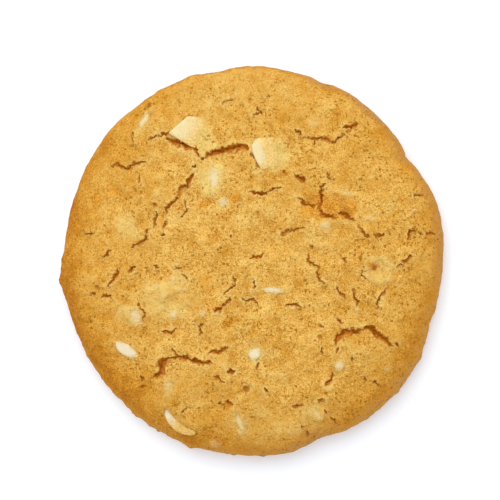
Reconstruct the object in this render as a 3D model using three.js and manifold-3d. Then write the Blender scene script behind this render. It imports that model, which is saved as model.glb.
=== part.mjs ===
// A white chocolate macadamia cookie, baked flat: a round crackled dough body with the
// white chocolate chunks and macadamia pieces that show in its top, each in its own pocket.
// Units are millimetres and +Z is up. The origin is the centre of the flat underside.
import * as THREE from "three";
import { mergeVertices } from "three/addons/utils/BufferGeometryUtils.js";
import Module from "manifold-3d";

// ---------------------------------------------------------------- driving dimensions
const RADIUS = 40.25; // mean radius at the widest part of the side
const THICKNESS = 12; // underside to crown
const WIDEST_AT = 3; // height of the widest part of the side
const FOOT_SHARE = 0.965; // radius of the flat underside, as a share of the radius
const DOME_POWER = 5; // higher is a flatter top with a tighter shoulder
const SHOULDER_POWER = 2.2; // 2 is an elliptical shoulder, higher is squarer
const SEGMENTS = 100; // round the outline
const TOP_RINGS = 18; // across the top, from crown to shoulder
const SIDE_RINGS = 7; // down the side, from shoulder to the widest part
const FOOT_RINGS = 3; // from the widest part to the underside
const SHOULDER_SHARE = 0.8; // height share at which the top rings give way to side rings
const RELIEF_END = [0.86, 0.99]; // shares of the radius over which the top's relief fades out
const POCKET_GAP = 0.3; // clear space between a piece and the dough round it

// Slow waves in the outline: [waves round the edge, height, angle of a crest].
const OUTLINE_WAVES = [
  [1, 0.11, 150],
  [2, 0.41, 109],
  [3, 0.11, -8],
  [6, 0.23, 12],
  [7, 0.11, 11],
  [8, 0.2, 7],
  [11, 0.1, -15],
  [15, 0.09, -7],
];
// Crumbs that stand out of the edge and nicks that cut into it: [angle, height, width in degrees].
const OUTLINE_NICKS = [
  [33, -0.7, 3],
  [68, -0.45, 3],
  [108, 0.25, 2],
  [186, 0.5, 2.4],
  [252, 0.6, 1.6],
  [291, -0.5, 3.5],
  [330, 0.4, 2.5],
  [341, -0.35, 3],
  [350, -0.28, 9],
];
// Low swells of the top over what is baked in under it: [x, y, radius, height].
const SWELLS = [
  [-7.2, 16, 4.5, 0.45],
  [-15.5, -7.5, 5.5, 0.45],
  [-12.5, -25.5, 6, 0.6],
  [23.5, -20, 7, 0.7],
  [26.8, -2.5, 4, 0.4],
  [18, 13, 4.5, 0.35],
  [16.5, 5.5, 4.5, 0.4],
  [-24, -11.5, 4, 0.3],
  [5, 28, 7, 0.3],
  [-27, 14, 6, 0.3],
  [2, -31, 6, 0.25],
];
// The even undulation of the baked top: [wavelength, direction in degrees, phase, height].
const LUMPS = [
  [13.5, 20, 0.4, 0.12],
  [11.2, 75, 2.1, 0.12],
  [9.4, 130, 4.0, 0.1],
  [8.1, 165, 1.2, 0.09],
  [6.3, 48, 5.1, 0.08],
  [5.6, 105, 3.3, 0.07],
];

// Cracks in the crust: [width, depth, [x, y] along the middle ...]. Hairline ones are left out.
const CRACKS = [
  // upper left
  [0.6, 1.2, [-28.3, 19.4], [-25.2, 18.7], [-20.6, 20.3]],
  [1.1, 1.9, [-16.6, 25], [-12.4, 22.7], [-10, 21.2]],
  [1.5, 2.0, [-8.4, 20.7], [-4.8, 22.2], [0.3, 22.3]],
  // the long crack that runs down and to the left
  [0.8, 1.6, [-10, 19.1], [-11.6, 16.3], [-13.8, 13.6], [-13.9, 12.5]],
  [0.7, 1.3, [-13.9, 12.3], [-16.3, 10.3], [-16.4, 9]],
  [0.6, 1.0, [-16, 8.1], [-17.3, 6]],
  [0.7, 1.2, [-20.1, 6.2], [-20.8, 4], [-23.6, 2.6]],
  // left
  [0.8, 1.4, [-26.6, -1.8], [-26.8, -3.3], [-28.5, -6]],
  [0.7, 1.2, [-22.8, -1.3], [-24.3, -3.1]],
  [0.8, 1.1, [-30.4, -7.7], [-27.9, -7.9]],
  [0.6, 1.1, [-22.2, -8.9], [-20.7, -11.2], [-21.4, -13]],
  // middle
  [0.6, 1.1, [1.1, 13.6], [3, 13.1], [7.2, 14.2]],
  [0.6, 1.0, [6.8, 4.4], [12, 6.2]],
  [0.6, 1.1, [-2.8, -3.6], [-2.2, -5.4], [-4.5, -7.4]],
  [0.6, 1.1, [-0.8, -8.2], [1.7, -8.4], [2.7, -9.8]],
  [1.0, 1.6, [-6.2, -10.6], [-5.1, -11.2]],
  // upper right
  [0.6, 1.2, [12.3, 24.8], [17.2, 24], [19.8, 25.1]],
  [0.7, 1.4, [20.3, 26.8], [22.3, 27.7]],
  [1.3, 1.3, [10.2, 16.6], [12.3, 15.2]],
  // right of the middle
  [0.7, 1.5, [16.2, 15], [15.3, 12.6], [15, 10.6]],
  [0.8, 1.4, [10.7, 12.2], [12.4, 10.8], [14.2, 10.5]],
  [0.9, 1.7, [14.8, 10], [16.4, 8.4], [18.5, 7.9]],
  [0.8, 1.5, [19.3, 8.9], [22.3, 7.5]],
  [0.6, 1.0, [23, 6.4], [24.4, 4.5], [28.1, 4.7]],
  [0.8, 1.3, [34.5, 5.5], [33.1, 5.2], [33, 3.5]],
  [0.9, 1.4, [31.8, -0.9], [33.8, 0.6]],
  [0.6, 1.1, [12.6, -0.4], [14.9, -3.2], [15.9, -5]],
  [0.6, 1.1, [22.1, -6.2], [21.9, -7.6], [22.5, -9.6]],
  // the arc on the lower right
  [1.1, 2.0, [18.3, -17.6], [18.8, -15.9], [22.6, -15.2], [25.7, -14.6]],
  [0.9, 1.6, [25.9, -15.4], [27.8, -16], [29.5, -18]],
  [0.8, 1.3, [17.6, -23.5], [15.9, -26]],
  [0.8, 1.1, [15.9, -28.5], [14.9, -29.4]],
  [1.0, 1.3, [14.7, -15.8], [15.6, -16.1]],
  // the arc on the lower left
  [1.2, 2.0, [-17.3, -23.8], [-17.2, -21.4], [-14.2, -19.9], [-9.6, -21]],
  [0.8, 1.3, [-9.2, -21.1], [-7.3, -20.8]],
  [0.6, 1.0, [-9.1, -13], [-9.9, -14], [-9.3, -16]],
  [0.9, 1.0, [-7.6, -18.8], [-2.8, -18.2]],
  [0.8, 1.1, [-3.8, -23.4], [-2, -23.1]],
  [1.2, 1.0, [-0.5, -26.6], [0.5, -26.6]],
  [0.6, 0.9, [9, -30.4], [12, -30.2]],
];

// Pieces that show in the top. A piece stands `proud` of the dough and leans by `lean` degrees
// about the level line at `turn` degrees from +X, its left side up. Its outline has named corners
// or, for a chip, is an ellipse of `size` length and width.
const PIECES = [
  {
    name: "white_chocolate_chunk_1",
    at: [-11.6, 25.8],
    corners: [[-4.6, 0.1], [-0.4, 3.7], [2.4, 3.2], [4.2, 0.4], [3.4, -2.9], [1.6, -3.6], [-1.6, -1.8]],
    deep: 4.5,
    proud: 0.35,
    turn: 75,
    lean: 5,
  },
  {
    name: "white_chocolate_chunk_2",
    at: [4.5, 21.4],
    corners: [[-3.4, 1.4], [-2.2, 3.2], [1.6, 3.3], [3.6, 0.8], [2.6, -2.6], [-1.2, -3.4], [-2.6, -1.2]],
    deep: 4.5,
    proud: 0.3,
    turn: 80,
    lean: 6,
  },
  {
    name: "white_chocolate_chunk_3",
    at: [-6.8, 16.3],
    corners: [[-2.2, 1.6], [-0.4, 3.1], [2.1, 2.2], [2.5, -0.6], [1.2, -3], [-1.4, -3.1], [-2.5, -0.8]],
    deep: 4,
    proud: 0.12,
    turn: 60,
    lean: 3,
  },
  { name: "white_chocolate_chunk_4", at: [-21.5, 28.6], size: [4.8, 2], deep: 2.6, proud: 0.2, turn: 66, lean: 4 },
  { name: "macadamia_piece_1", at: [5.7, -6.5], size: [5, 1.5], deep: 3, proud: 0.2, turn: -5, lean: 4 },
  { name: "macadamia_piece_2", at: [1.8, -19.4], size: [3, 2.4], deep: 2.6, proud: 0.4, turn: 20, lean: 3 },
  { name: "macadamia_piece_3", at: [19, -21.6], size: [2.7, 2.3], deep: 2.6, proud: 0.35, turn: 30, lean: 4 },
  { name: "macadamia_piece_4", at: [-24.9, -18.6], size: [5.3, 2.3], deep: 2.8, proud: 0.35, turn: -32, lean: 4 },
  { name: "macadamia_piece_5", at: [-23.3, -11.5], size: [4.6, 3.6], deep: 3.4, proud: 0.2, turn: -60, lean: 5 },
  { name: "macadamia_piece_6", at: [-15.9, -26], size: [4.2, 3], deep: 3, proud: 0.1, turn: 80, lean: 3 },
  { name: "macadamia_piece_7", at: [-1.5, -32.9], size: [5, 1.4], deep: 2.8, proud: 0.15, turn: -70, lean: 3 },
  { name: "macadamia_piece_8", at: [14.2, -31.3], size: [3.8, 2.8], deep: 3, proud: 0.15, turn: -50, lean: 4 },
];
// The crescent is the broken rim of a nut half: an arc of a ring with narrower, blunt ends.
const CRESCENT = {
  name: "macadamia_piece_9",
  centre: [-10.6, -29.2],
  radius: 6.4,
  width: 1.8,
  from: 192,
  to: 269,
  deep: 2.8,
  proud: 0.35,
};
// Specks of nut and chocolate fused into the crust: [x, y, length, width, turn].
const SPECKS = [
  [-4.6, 11.4, 2, 1.8, 0],
  [-15.3, -11.6, 2, 1.5, 20],
  [-8.8, -11.3, 1.6, 1.6, 0],
  [-24.6, 6.2, 2.6, 2.2, 30],
  [-16.6, -7.6, 1.6, 1.3, 0],
  [16.2, 6.7, 1.9, 1.8, 40],
  [13.8, 27.2, 2.6, 1.4, 10],
  [20.9, 12.8, 3, 1.1, -12],
  [24.9, 8.3, 2.4, 1.4, 10],
  [9.6, -35.4, 3, 1.1, 0],
];
const SPECK_PROUD = 0.35;

const radians = THREE.MathUtils.degToRad;

// ---------------------------------------------------------------- the dough's form
function outlineRadius(angle) {
  const degrees = THREE.MathUtils.radToDeg(angle);
  let r = RADIUS;
  for (const [waves, height, crest] of OUTLINE_WAVES) r += height * Math.cos(waves * radians(degrees - crest));
  for (const [at, height, width] of OUTLINE_NICKS) {
    const away = THREE.MathUtils.euclideanModulo(degrees - at + 180, 360) - 180;
    r += height * Math.exp(-((away / width) ** 2));
  }
  return r;
}

// Height of the domed top without its relief, at a share of the outline's radius.
function domeHeight(share) {
  const fall = Math.max(0, 1 - Math.min(1, share) ** DOME_POWER);
  return WIDEST_AT + (THICKNESS - WIDEST_AT) * fall ** (1 / SHOULDER_POWER);
}

function relief(x, y) {
  let z = 0;
  for (const [cx, cy, r, height] of SWELLS) z += height * Math.exp(-2 * (((x - cx) ** 2 + (y - cy) ** 2) / (r * r)));
  for (const [wavelength, direction, phase, height] of LUMPS) {
    const along = x * Math.cos(radians(direction)) + y * Math.sin(radians(direction));
    z += height * Math.sin((2 * Math.PI * along) / wavelength + phase);
  }
  return z;
}

// Relief fades out down the side, so that the wall keeps its roundness.
function reliefShare(share) {
  return 1 - THREE.MathUtils.smoothstep(share, ...RELIEF_END);
}

function topHeight(x, y) {
  const share = Math.hypot(x, y) / outlineRadius(Math.atan2(y, x));
  return domeHeight(share) + relief(x, y) * reliefShare(share);
}

// Half of the cross-section as shares of the radius, from the underside's middle to the crown.
function profile() {
  const points = [new THREE.Vector2(0, 0), new THREE.Vector2(FOOT_SHARE / 2, 0)];
  for (let i = 0; i < FOOT_RINGS; i++) {
    const turn = (i / FOOT_RINGS) * (Math.PI / 2);
    const out = FOOT_SHARE + (1 - FOOT_SHARE) * Math.sin(turn);
    points.push(new THREE.Vector2(out, WIDEST_AT * (1 - Math.cos(turn))));
  }
  for (let i = 0; i < SIDE_RINGS; i++) {
    const up = SHOULDER_SHARE * (i / SIDE_RINGS);
    const out = (1 - up ** SHOULDER_POWER) ** (1 / DOME_POWER);
    points.push(new THREE.Vector2(out, WIDEST_AT + (THICKNESS - WIDEST_AT) * up));
  }
  const shoulder = (1 - SHOULDER_SHARE ** SHOULDER_POWER) ** (1 / DOME_POWER);
  for (let i = TOP_RINGS; i >= 0; i--) {
    const out = shoulder * (i / TOP_RINGS);
    points.push(new THREE.Vector2(out, domeHeight(out)));
  }
  return points;
}

// A lathed body, pushed out to the uneven outline and given the relief of its top.
function doughBody() {
  const geometry = new THREE.LatheGeometry(profile(), SEGMENTS).rotateX(Math.PI / 2);
  const p = geometry.attributes.position;
  for (let i = 0; i < p.count; i++) {
    const share = Math.hypot(p.getX(i), p.getY(i));
    const angle = Math.atan2(p.getY(i), p.getX(i));
    const x = p.getX(i) * outlineRadius(angle);
    const y = p.getY(i) * outlineRadius(angle);
    const top = p.getZ(i) > WIDEST_AT ? relief(x, y) * reliefShare(share) : 0;
    p.setXYZ(i, x, y, p.getZ(i) + top);
  }
  return geometry;
}

// ---------------------------------------------------------------- cracks
// Repeatable draws from 0 to 1.
function drawsFrom(seed) {
  let state = seed;
  return () => {
    state = (state * 16807) % 2147483647;
    return state / 2147483647;
  };
}

const FIRST_CRACK_SEED = 101;
const FIRST_CHIP_SEED = 1001;
const CRACK_STEP = 1.3; // between the ragged points of a crack's edge
const CRACK_RAG = 0.5; // spread of the edge's distance from the middle, as a share of it
const CRACK_TAPER = 0.6; // lower keeps a crack's full width for longer
const CRACK_END = 0.3; // width at a crack's ends, as a share of its width
const CRACK_ROOT = 0.35; // width at a crack's floor, as a share of its width
const CUTTER_RISE = 2.5; // how far a cutter stands above the crust

// A ragged blade whose plan is the crack and whose floor is narrower than its mouth.
function crackCutter([width, depth, ...route], seed) {
  const draw = drawsFrom(seed);
  const line = new THREE.CatmullRomCurve3(route.map(([x, y]) => new THREE.Vector3(x, y, 0)), false, "centripetal");
  const steps = Math.max(2, Math.round(line.getLength() / CRACK_STEP));
  const middle = line.getSpacedPoints(steps);
  const left = [];
  const right = [];
  middle.forEach((point, i) => {
    const tangent = line.getTangentAt(i / steps);
    const across = new THREE.Vector2(-tangent.y, tangent.x);
    const swell = CRACK_END + (1 - CRACK_END) * Math.sin((Math.PI * i) / steps) ** CRACK_TAPER;
    const half = (width / 2) * swell;
    const ragged = () => half * (1 + CRACK_RAG * (draw() - 0.5));
    const centre = new THREE.Vector2(point.x, point.y);
    left.push(centre.clone().addScaledVector(across, ragged()));
    right.push(centre.clone().addScaledVector(across, -ragged()));
  });
  const shape = new THREE.Shape([...left, ...right.reverse()]);
  const mid = middle[Math.round(steps / 2)];
  const floor = topHeight(mid.x, mid.y) - depth;
  const geometry = new THREE.ExtrudeGeometry(shape, { depth: depth + CUTTER_RISE, bevelEnabled: false });
  const p = geometry.attributes.position;
  for (let i = 0; i < p.count; i++) {
    if (p.getZ(i) > 0) continue;
    const at = new THREE.Vector3(p.getX(i), p.getY(i), 0);
    const nearest = middle.reduce((a, b) => (a.distanceTo(at) < b.distanceTo(at) ? a : b));
    at.lerpVectors(nearest, at, CRACK_ROOT);
    p.setXYZ(i, at.x, at.y, 0);
  }
  return geometry.translate(0, 0, floor);
}

// ---------------------------------------------------------------- chocolate and nuts
const CHIP_CORNERS = 10;
const CHIP_RAG = 0.2; // spread of a chip's corners from its ellipse, as a share of its radius
const CORNER_GROWTH = 1.15; // a corner goes further out than the sides beside it when they move out
const PIECE_BEVEL = 0.35;

// Outline of a piece, grown by `gap` all round.
function pieceOutline(piece, gap) {
  if (piece.corners) {
    return piece.corners.map(([x, y]) => {
      const growth = 1 + (CORNER_GROWTH * gap) / Math.hypot(x, y);
      return new THREE.Vector2(x * growth, y * growth);
    });
  }
  const draw = drawsFrom(FIRST_CHIP_SEED + PIECES.indexOf(piece));
  const outline = [];
  for (let i = 0; i < CHIP_CORNERS; i++) {
    const angle = (2 * Math.PI * i) / CHIP_CORNERS;
    const uneven = 1 + CHIP_RAG * (draw() - 0.5);
    const x = Math.cos(angle) * ((piece.size[0] / 2) * uneven + gap);
    const y = Math.sin(angle) * ((piece.size[1] / 2) * uneven + gap);
    outline.push(new THREE.Vector2(x, y).rotateAround(new THREE.Vector2(), radians(piece.turn)));
  }
  return outline;
}

// A bevelled block with its top `proud` of the crust, leaning about a level line through its middle.
function pieceGeometry(piece, gap = 0) {
  const height = piece.deep + piece.proud + (gap ? CUTTER_RISE : 0);
  const geometry = new THREE.ExtrudeGeometry(new THREE.Shape(pieceOutline(piece, gap)), {
    depth: height - 2 * PIECE_BEVEL,
    bevelThickness: PIECE_BEVEL,
    bevelSize: PIECE_BEVEL,
    bevelOffset: -PIECE_BEVEL,
    bevelSegments: 1,
  });
  const [x, y] = piece.at;
  const axis = new THREE.Vector3(Math.cos(radians(piece.turn)), Math.sin(radians(piece.turn)), 0);
  geometry.translate(0, 0, PIECE_BEVEL - piece.deep - gap);
  geometry.applyMatrix4(new THREE.Matrix4().makeRotationAxis(axis, radians(piece.lean)));
  return geometry.translate(x, y, topHeight(x, y));
}

const CRESCENT_STEPS = 7;
const CRESCENT_END = 0.65; // width at the crescent's ends, as a share of its width

function crescentGeometry(gap = 0) {
  const { centre, radius, width, from, to, deep, proud } = CRESCENT;
  const outer = [];
  const inner = [];
  for (let i = 0; i <= CRESCENT_STEPS; i++) {
    const along = i / CRESCENT_STEPS;
    const angle = radians(from + (to - from) * along);
    const half = (width / 2) * (CRESCENT_END + (1 - CRESCENT_END) * Math.sin(Math.PI * along)) + gap;
    const ends = along === 0 ? -gap / radius : along === 1 ? gap / radius : 0;
    const direction = new THREE.Vector2(Math.cos(angle + ends), Math.sin(angle + ends));
    outer.push(direction.clone().multiplyScalar(radius + half));
    inner.push(direction.clone().multiplyScalar(radius - half));
  }
  const height = deep + proud + (gap ? CUTTER_RISE : 0);
  const shape = new THREE.Shape([...outer, ...inner.reverse()]);
  const geometry = new THREE.ExtrudeGeometry(shape, { depth: height, bevelEnabled: false });
  const middle = radians((from + to) / 2);
  const x = centre[0] + radius * Math.cos(middle);
  const y = centre[1] + radius * Math.sin(middle);
  return geometry.translate(centre[0], centre[1], topHeight(x, y) - deep - gap);
}

// A low rounded grain, half sunk in the crust.
function speckGeometry([x, y, length, width, turn]) {
  return new THREE.IcosahedronGeometry(1, 0)
    .scale(length / 2, width / 2, 2 * SPECK_PROUD)
    .rotateZ(radians(turn))
    .translate(x, y, topHeight(x, y) - SPECK_PROUD);
}

// ---------------------------------------------------------------- joining and cutting
const wasm = await Module();
wasm.setup();

function solidFrom(geometry) {
  const bare = geometry.index ? geometry.toNonIndexed() : geometry.clone();
  bare.deleteAttribute("normal");
  bare.deleteAttribute("uv");
  const merged = mergeVertices(bare, 1e-4);
  return new wasm.Manifold(
    new wasm.Mesh({
      numProp: 3,
      vertProperties: merged.attributes.position.array,
      triVerts: new Uint32Array(merged.index.array),
    }),
  );
}

function geometryFrom(solid) {
  const mesh = solid.getMesh();
  const geometry = new THREE.BufferGeometry();
  const positions = new Float32Array(mesh.numVert * 3);
  for (let i = 0; i < mesh.numVert; i++) {
    positions.set(mesh.vertProperties.subarray(i * mesh.numProp, i * mesh.numProp + 3), i * 3);
  }
  geometry.setAttribute("position", new THREE.BufferAttribute(positions, 3));
  geometry.setIndex(new THREE.BufferAttribute(mesh.triVerts, 1));
  geometry.computeVertexNormals();
  return geometry;
}

function doughGeometry() {
  const specks = SPECKS.map((speck) => solidFrom(speckGeometry(speck)));
  const cutters = CRACKS.map((crack, i) => solidFrom(crackCutter(crack, FIRST_CRACK_SEED + i)));
  const pockets = PIECES.map((piece) => solidFrom(pieceGeometry(piece, POCKET_GAP)));
  pockets.push(solidFrom(crescentGeometry(POCKET_GAP)));
  const body = wasm.Manifold.union([solidFrom(doughBody()), ...specks]);
  return geometryFrom(body.subtract(wasm.Manifold.union([...cutters, ...pockets])));
}

// ---------------------------------------------------------------- materials and assembly
const crust = new THREE.MeshStandardMaterial({ color: 0xdda855, roughness: 0.85, metalness: 0 });
const chocolate = new THREE.MeshStandardMaterial({ color: 0xf2dca0, roughness: 0.5, metalness: 0 });
const nut = new THREE.MeshStandardMaterial({ color: 0xefdcb4, roughness: 0.6, metalness: 0 });

function named(name, geometry, material) {
  const mesh = new THREE.Mesh(geometry, material);
  mesh.name = name;
  return mesh;
}

const cookie = new THREE.Group();
cookie.add(named("dough", doughGeometry(), crust));
for (const piece of PIECES) {
  const material = piece.name.startsWith("white") ? chocolate : nut;
  cookie.add(named(piece.name, pieceGeometry(piece), material));
}
cookie.add(named(CRESCENT.name, crescentGeometry(), nut));

// The uneven outline is centred on the origin.
const box = new THREE.Box3().setFromObject(cookie);
cookie.position.set(-(box.min.x + box.max.x) / 2, -(box.min.y + box.max.y) / 2, -box.min.z);

export default cookie;
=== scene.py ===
import math

import bmesh
import bpy
import numpy as np
from mathutils import Matrix, Vector, noise


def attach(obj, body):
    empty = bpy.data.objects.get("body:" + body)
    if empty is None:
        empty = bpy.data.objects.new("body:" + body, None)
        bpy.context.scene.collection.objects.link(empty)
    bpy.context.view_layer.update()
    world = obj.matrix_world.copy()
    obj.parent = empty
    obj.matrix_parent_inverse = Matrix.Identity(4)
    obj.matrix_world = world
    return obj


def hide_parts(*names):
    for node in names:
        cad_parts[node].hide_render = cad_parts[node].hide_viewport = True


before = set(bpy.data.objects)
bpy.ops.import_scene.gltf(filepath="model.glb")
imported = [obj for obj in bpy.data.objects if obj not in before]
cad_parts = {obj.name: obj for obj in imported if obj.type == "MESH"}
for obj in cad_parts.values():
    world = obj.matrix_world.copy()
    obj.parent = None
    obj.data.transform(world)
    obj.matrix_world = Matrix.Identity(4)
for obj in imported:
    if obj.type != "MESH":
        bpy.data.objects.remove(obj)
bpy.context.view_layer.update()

# ---------------------------------------------------------------- Dough: its form
# A scoop of butter dough, baked until it has spread into a round with a flat top, a rolled
# shoulder and a flat foot. The crust dries and cracks while the middle still rises under it.
# Lengths are in millimetres, and +Y is the side that the light comes from.
MM = 0.001
RADIUS = 40.25
THICKNESS = 12
WIDEST_AT = 3
FOOT_SHARE = 0.965
DOME_POWER = 5
SHOULDER_POWER = 2.2
SWELLS_END = (0.86, 0.99)
# Waves of the outline: how many there are round the rim, their height and where one crests.
OUTLINE_WAVES = [
    (1, 0.11, 150), (2, 0.41, 109), (3, 0.11, -8), (6, 0.23, 12),
    (7, 0.11, 11), (8, 0.2, 7), (11, 0.1, -15), (15, 0.09, -7),
]  # fmt: skip
# Bulges and nicks of the outline: direction, height and half width in degrees.
OUTLINE_NICKS = [
    (33, -0.7, 3), (68, -0.45, 3), (108, 0.25, 2), (186, 0.5, 2.4), (252, 0.6, 1.6),
    (291, -0.5, 3.5), (330, 0.4, 2.5), (341, -0.35, 3), (350, -0.28, 9),
]  # fmt: skip
OUTLINE_STEP = 3.6  # degrees
# Swells of the top: place, radius and height.
SWELLS = [
    (-7.2, 16, 4.5, 0.45), (-15.5, -7.5, 5.5, 0.45), (-12.5, -25.5, 6, 0.6), (23.5, -20, 7, 0.7),
    (26.8, -2.5, 4, 0.4), (18, 13, 4.5, 0.35), (16.5, 5.5, 4.5, 0.4), (-24, -11.5, 4, 0.3),
    (5, 28, 7, 0.3), (-27, 14, 6, 0.3), (2, -31, 6, 0.25),
]  # fmt: skip
# Undulations of the top: wavelength, direction, phase and height.
LUMPS = [
    (13.5, 20, 0.4, 0.12), (11.2, 75, 2.1, 0.12), (9.4, 130, 4.0, 0.1),
    (8.1, 165, 1.2, 0.09), (6.3, 48, 5.1, 0.08), (5.6, 105, 3.3, 0.07),
]  # fmt: skip
NOISE_FADE = 0.9
NOISE_FINER = 2.1
SEED_STEP = 31.7


def smoothstep(value, low, high):
    """0 below low and 1 above high, with a smooth rise between them."""
    t = np.clip((value - low) / (high - low), 0, 1)
    return t * t * (3 - 2 * t)


def hump(away, width):
    """1 at no distance, falling to almost nothing at twice the half width."""
    return np.exp(-((away / width) ** 2))


def turn_from(start, degrees):
    """The shorter turn from one direction to another, in degrees."""
    return (degrees - start + 180) % 360 - 180


def bearing(x, y):
    """Direction of a point in the plan from the cookie's middle, in degrees from +X."""
    return np.degrees(np.arctan2(y, x))


def outline_radius(degrees):
    """Radius of the uneven outline at an angle from +X."""
    r = RADIUS + sum(h * np.cos(np.radians(n * (degrees - crest))) for n, h, crest in OUTLINE_WAVES)
    for at, height, width in OUTLINE_NICKS:
        r = r + height * hump(turn_from(at, degrees), width)
    return r


rim_turn = np.arange(0, 360, OUTLINE_STEP)
rim = np.array([np.cos(np.radians(rim_turn)), np.sin(np.radians(rim_turn))]) * outline_radius(rim_turn)
MIDDLE = Vector([*(rim.min(axis=1) + rim.max(axis=1)) / 2, 0])


def share_of_radius(x, y):
    """How far out a point in the plan lies: 0 in the middle, 1 on the outline."""
    return np.hypot(x, y) / outline_radius(bearing(x, y))


def dome_height(share):
    """Height of the flat top and its rolled shoulder at a share of the radius."""
    fall = 1 - np.minimum(share, 1) ** DOME_POWER
    return WIDEST_AT + (THICKNESS - WIDEST_AT) * fall ** (1 / SHOULDER_POWER)


def swell_height(x, y):
    """The low swells over what is baked in, and the even undulation of the top."""
    z = sum(h * np.exp(-2 * ((x - cx) ** 2 + (y - cy) ** 2) / r**2) for cx, cy, r, h in SWELLS)
    for wavelength, direction, phase, height in LUMPS:
        along = x * math.cos(math.radians(direction)) + y * math.sin(math.radians(direction))
        z = z + height * np.sin(2 * math.pi * along / wavelength + phase)
    return z


def crust_height(x, y):
    """Height of the top over a point of the plan, before it cracks."""
    share = share_of_radius(x, y)
    return dome_height(share) + swell_height(x, y) * (1 - smoothstep(share, *SWELLS_END))


def noise_at(points, wavelength, octaves, seed):
    """Smooth noise from about -1 to 1 at points in millimetres."""
    scaled = points / wavelength + SEED_STEP * seed
    return np.array([noise.fractal(p, NOISE_FADE, NOISE_FINER, octaves) for p in scaled])


# ---------------------------------------------------------------- White chocolate, nuts: their form
# Chopped chocolate and nut pieces that the dough carried up with it. Each lies in the crust with
# its top bare or under a film of dough.

# `bare` is the ellipse that the film leaves open and `white` the one where the piece is whitest, from
# the piece's middle: offset x and y, half length, half width and turn. `clean` is how white it gets
# there, and `soft` pieces fade out under the film.
INCLUSIONS = [
    dict(
        name="white_chocolate_chunk_1", at=(-11.6, 25.8), deep=4.5, proud=0.35, turn=75, lean=5,
        corners=[(-4.6, 0.1), (-0.4, 3.7), (2.4, 3.2), (4.2, 0.4), (3.4, -2.9), (1.6, -3.6), (-1.6, -1.8)],
        bare=(-1.2, 0.8, 5.2, 4.2, 35), white=(-2.1, 1.1, 4.0, 2.9, 35), clean=0.88,
    ),
    dict(
        name="white_chocolate_chunk_2", at=(4.5, 21.4), deep=4.5, proud=0.3, turn=80, lean=6,
        corners=[(-3.4, 1.4), (-2.2, 3.2), (1.6, 3.3), (3.6, 0.8), (2.6, -2.6), (-1.2, -3.4), (-2.6, -1.2)],
        bare=(-1.5, 0.3, 4.4, 2.9, 105), white=(-2.2, 0.4, 3.8, 1.6, 105), clean=1.0,
    ),
    dict(
        name="white_chocolate_chunk_3", at=(-6.8, 16.3), deep=4, proud=0.12, turn=60, lean=3,
        corners=[(-2.2, 1.6), (-0.4, 3.1), (2.1, 2.2), (2.5, -0.6), (1.2, -3), (-1.4, -3.1), (-2.5, -0.8)],
        bare=(0.4, -0.3, 1.8, 0.9, 95), white=(0.4, -0.1, 3.4, 1.8, 95), clean=0.92, soft=True,
    ),
    dict(
        name="white_chocolate_chunk_4", at=(-21.5, 28.6), size=(4.8, 2), deep=2.6, proud=0.2,
        turn=66, lean=4,
        bare=(0, 0.1, 1.6, 0.5, 60), white=(-0.1, 0.3, 2.8, 0.95, 60), clean=0.8, soft=True,
    ),
    dict(
        name="macadamia_piece_1", at=(5.7, -6.5), size=(5, 1.5), deep=3, proud=0.2, turn=-5, lean=4,
        bare=(-0.2, 0, 2.1, 0.5, -8), white=(-0.2, 0.05, 3.2, 0.8, -8), clean=0.8, soft=True,
    ),
    dict(
        name="macadamia_piece_2", at=(1.8, -19.4), size=(3, 2.4), deep=2.6, proud=0.4, turn=20, lean=3,
        bare=(0, 0, 1.3, 1.05, 20), white=(0, 0.1, 1.6, 1.35, 20), clean=0.95,
    ),
    dict(
        name="macadamia_piece_3", at=(19, -21.6), size=(2.7, 2.3), deep=2.6, proud=0.35, turn=30, lean=4,
        bare=(0, 0, 0.9, 0.7, 30), white=(0.2, 0, 1.5, 1.2, 30), clean=0.5, soft=True,
    ),
    dict(
        name="macadamia_piece_4", at=(-24.9, -18.6), size=(5.3, 2.3), deep=2.8, proud=0.35, turn=-32, lean=4,
        bare=(0, 0, 2.7, 1.15, -32), white=(0, 0, 3.4, 1.7, -32), clean=1.0,
    ),
    dict(
        name="macadamia_piece_5", at=(-23.3, -11.5), size=(4.6, 3.6), deep=3.4, proud=0.2, turn=-60, lean=5,
        bare=(0.8, -0.4, 1.9, 1.0, -60), white=(0.7, -0.3, 2.8, 1.5, -60), clean=0.5, soft=True,
    ),
    dict(
        name="macadamia_piece_6", at=(-15.9, -26), size=(4.2, 3), deep=3, proud=0.1, turn=80, lean=3,
        bare=(0, 0, 1.2, 0.8, 80), white=(-0.3, 0.5, 1.6, 1.1, 80), clean=0.15, soft=True,
    ),
    dict(
        name="macadamia_piece_7", at=(-1.5, -32.9), size=(5, 1.4), deep=2.8, proud=0.15, turn=-70, lean=3,
        bare=(0, 0, 2.2, 0.5, -70), white=(0, 0, 3.4, 1.1, -70), clean=0.35, soft=True,
    ),
    dict(
        name="macadamia_piece_8", at=(14.2, -31.3), size=(3.8, 2.8), deep=3, proud=0.15, turn=-50, lean=4,
        bare=(0, 0, 1.0, 0.7, -50), white=(0, 0, 2.1, 1.5, -50), clean=0.12, soft=True,
    ),
    dict(
        name="macadamia_piece_9", at=(-14.6, -33.5), deep=2.8, proud=0.35, turn=0, lean=0,
        arc=dict(centre=(-10.6, -29.2), radius=6.4, width=1.8, middle=230.5, half_angle=38.5),
        white=(-1.9, 2.4, 3.2, 1.7, -60), clean=0.95,
    ),
]  # fmt: skip
CROWN = 0.9
CROWN_POWER = 6
CORNER_POWER = 16
ARC_END = 0.65
ARC_END_POWER = 4
CHIP_SWINGS = [(2, 0.05), (3, 0.05), (5, 0.03)]
BARE_INSET = 0.02
TINY = 1e-6
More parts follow.
